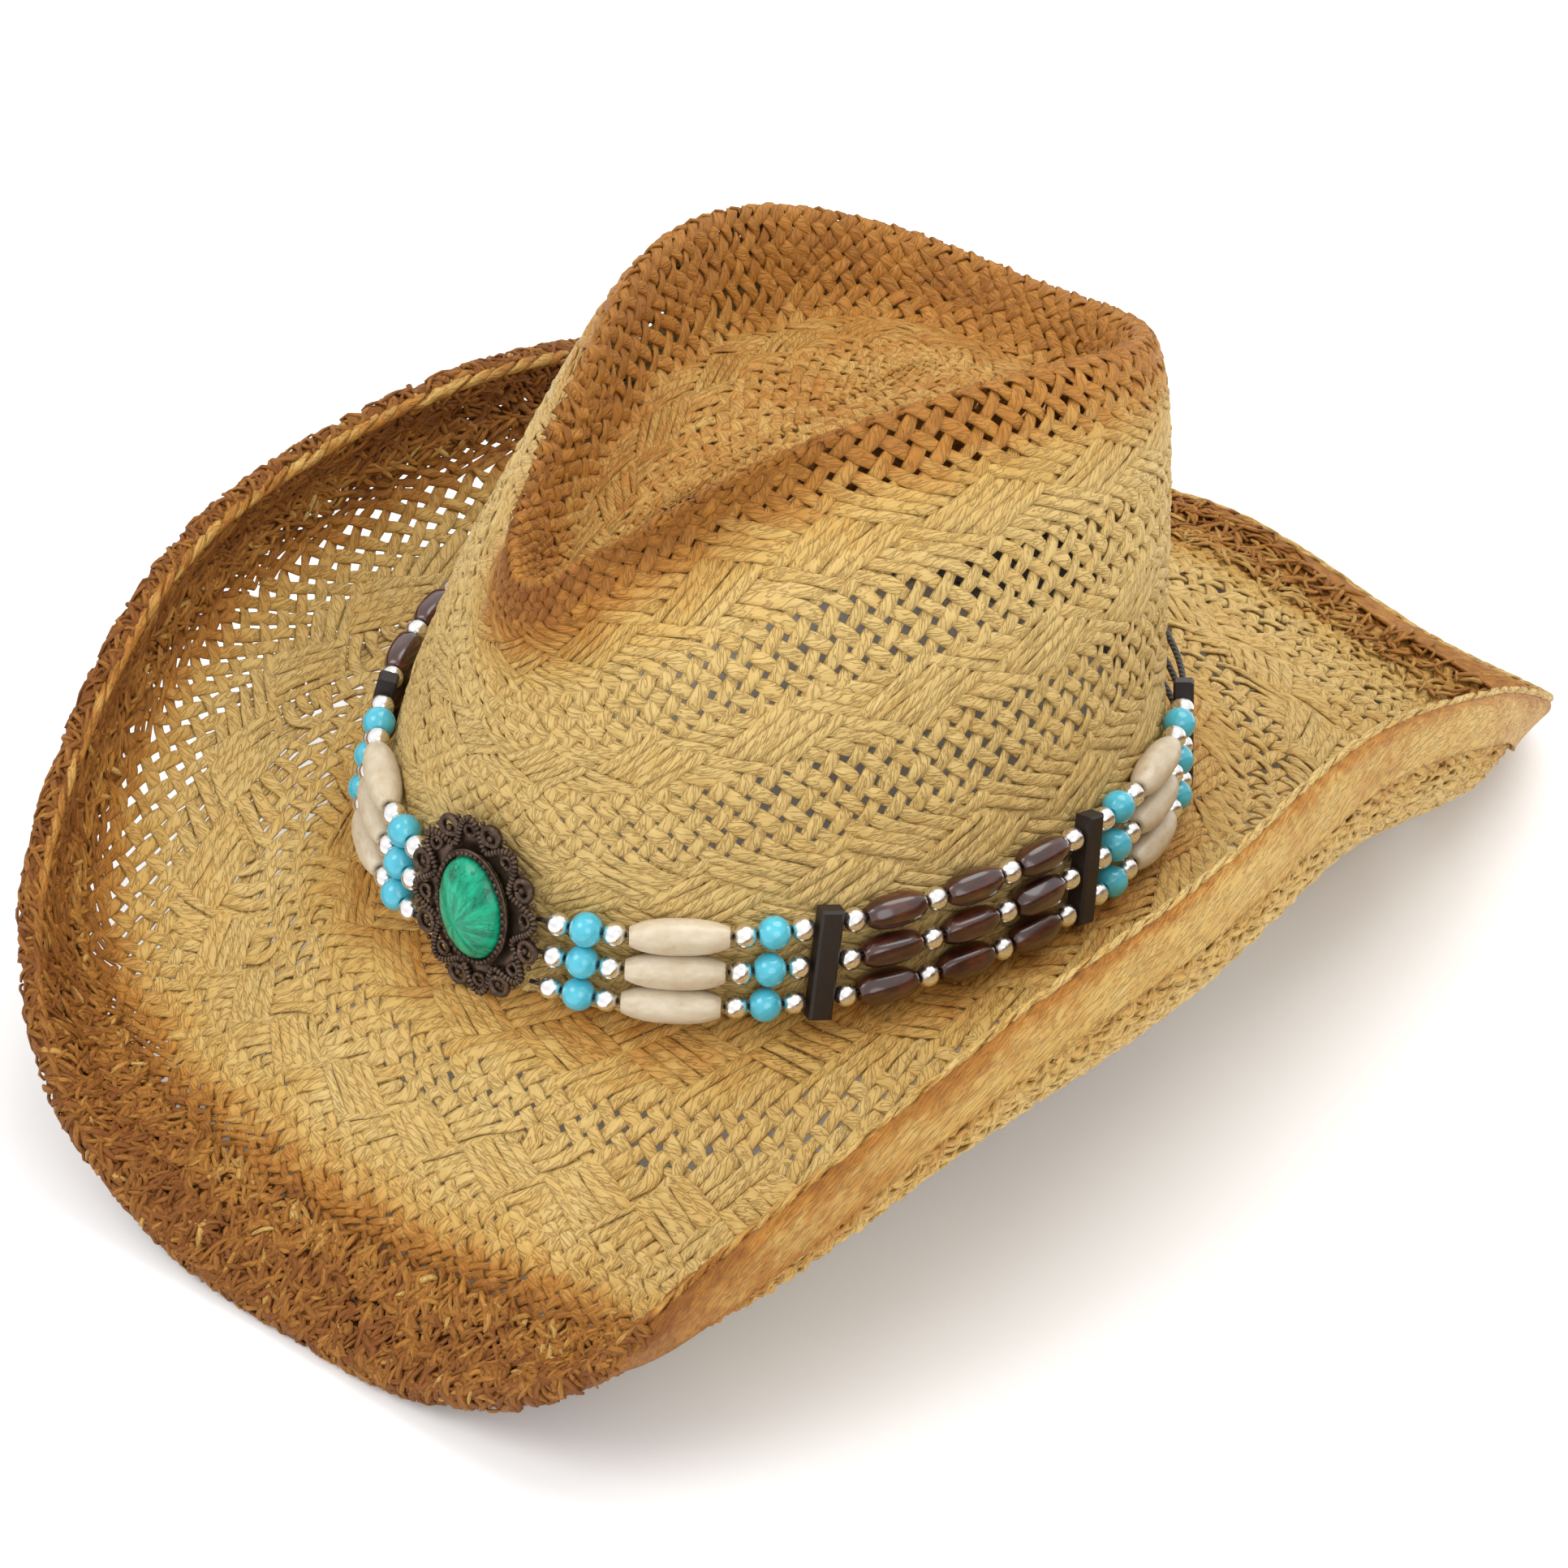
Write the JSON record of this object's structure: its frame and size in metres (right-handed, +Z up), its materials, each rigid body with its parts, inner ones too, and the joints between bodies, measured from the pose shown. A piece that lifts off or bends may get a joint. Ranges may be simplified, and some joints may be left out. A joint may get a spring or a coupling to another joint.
{
  "type": "cowboy hat",
  "caption": "Pinch-front woven straw western hat with a rolled, wired brim, a sweatband and a lift-off beaded hatband with an oval concho.",
  "frame": {"origin": "the centre of the head opening, at the head line where crown and brim meet, which is where a head holds the hat", "axes": "+Z up, square to the table that the hat lies on; -Y towards the front of the brim; +X towards the wearer's left. The crown leans back 7 degrees from +Z, as the hat lies on the dips of its brim, so its own up axis is (0, 0.12187, 0.99255)"},
  "size_m": [0.2928, 0.3853, 0.1722],
  "materials": {
    "straw": "woven two-ply paper straw cord, pale tan, toasted brown along the ridge, the pinch and the brim's edge",
    "straw_edge": "toasted straw folded over the edge wire, with a twisted cord stitched along it",
    "wire": "drawn steel wire",
    "sweatband": "dark brown stretch cloth band",
    "turquoise": "glossy turquoise bead, with a bright mottled silver bead at each end of the group",
    "bone": "polished ivory bone hair-pipe",
    "wood": "glossy dark red-brown wood barrels, faceted, with silver beads between them",
    "bar": "dull dark brown horn spacer",
    "concho": "antiqued dark bronze casting with worn bright high spots",
    "cabochon": "polished green stone with dark veins",
    "cord": "black waxed cord"
  },
  "bodies": {
    "hat": {"crown": "straw", "brim": "straw", "brim_hem": "straw_edge", "brim_wire": "wire", "sweatband": "sweatband"},
    "hatband": {"concho_plate": "concho", "concho_bezel": "concho", "cabochon": "cabochon", "left_front_beads_a_bottom": "turquoise", "left_front_beads_a_middle": "turquoise", "left_front_beads_a_top": "turquoise", "left_front_hair_pipe_bottom": "bone", "left_front_hair_pipe_middle": "bone", "left_front_hair_pipe_top": "bone", "left_front_beads_b_bottom": "turquoise", "left_front_beads_b_middle": "turquoise", "left_front_beads_b_top": "turquoise", "left_bar_1": "bar", "left_wood_beads_bottom": "wood", "left_wood_beads_middle": "wood", "left_wood_beads_top": "wood", "left_bar_2": "bar", "left_rear_beads_a_bottom": "turquoise", "left_rear_beads_a_middle": "turquoise", "left_rear_beads_a_top": "turquoise", "left_rear_hair_pipe_bottom": "bone", "left_rear_hair_pipe_middle": "bone", "left_rear_hair_pipe_top": "bone", "left_rear_beads_b_bottom": "turquoise", "left_rear_beads_b_middle": "turquoise", "left_rear_beads_b_top": "turquoise", "left_bar_3": "bar", "right_front_beads_a_bottom": "turquoise", "right_front_beads_a_middle": "turquoise", "right_front_beads_a_top": "turquoise", "right_front_hair_pipe_bottom": "bone", "right_front_hair_pipe_middle": "bone", "right_front_hair_pipe_top": "bone", "right_front_beads_b_bottom": "turquoise", "right_front_beads_b_middle": "turquoise", "right_front_beads_b_top": "turquoise", "right_bar_1": "bar", "right_wood_beads_bottom": "wood", "right_wood_beads_middle": "wood", "right_wood_beads_top": "wood", "right_bar_2": "bar", "right_rear_beads_a_bottom": "turquoise", "right_rear_beads_a_middle": "turquoise", "right_rear_beads_a_top": "turquoise", "right_rear_hair_pipe_bottom": "bone", "right_rear_hair_pipe_middle": "bone", "right_rear_hair_pipe_top": "bone", "right_rear_beads_b_bottom": "turquoise", "right_rear_beads_b_middle": "turquoise", "right_rear_beads_b_top": "turquoise", "right_bar_3": "bar", "rear_cord_bottom": "cord", "rear_cord_middle": "cord", "rear_cord_top": "cord"}
  },
  "joints": [
    {"name": "hatband_lift", "type": "slide", "parent": "hat", "child": "hatband", "axis": [0, 0.1219, 0.9925], "range_m": [0, 0.12]}
  ]
}
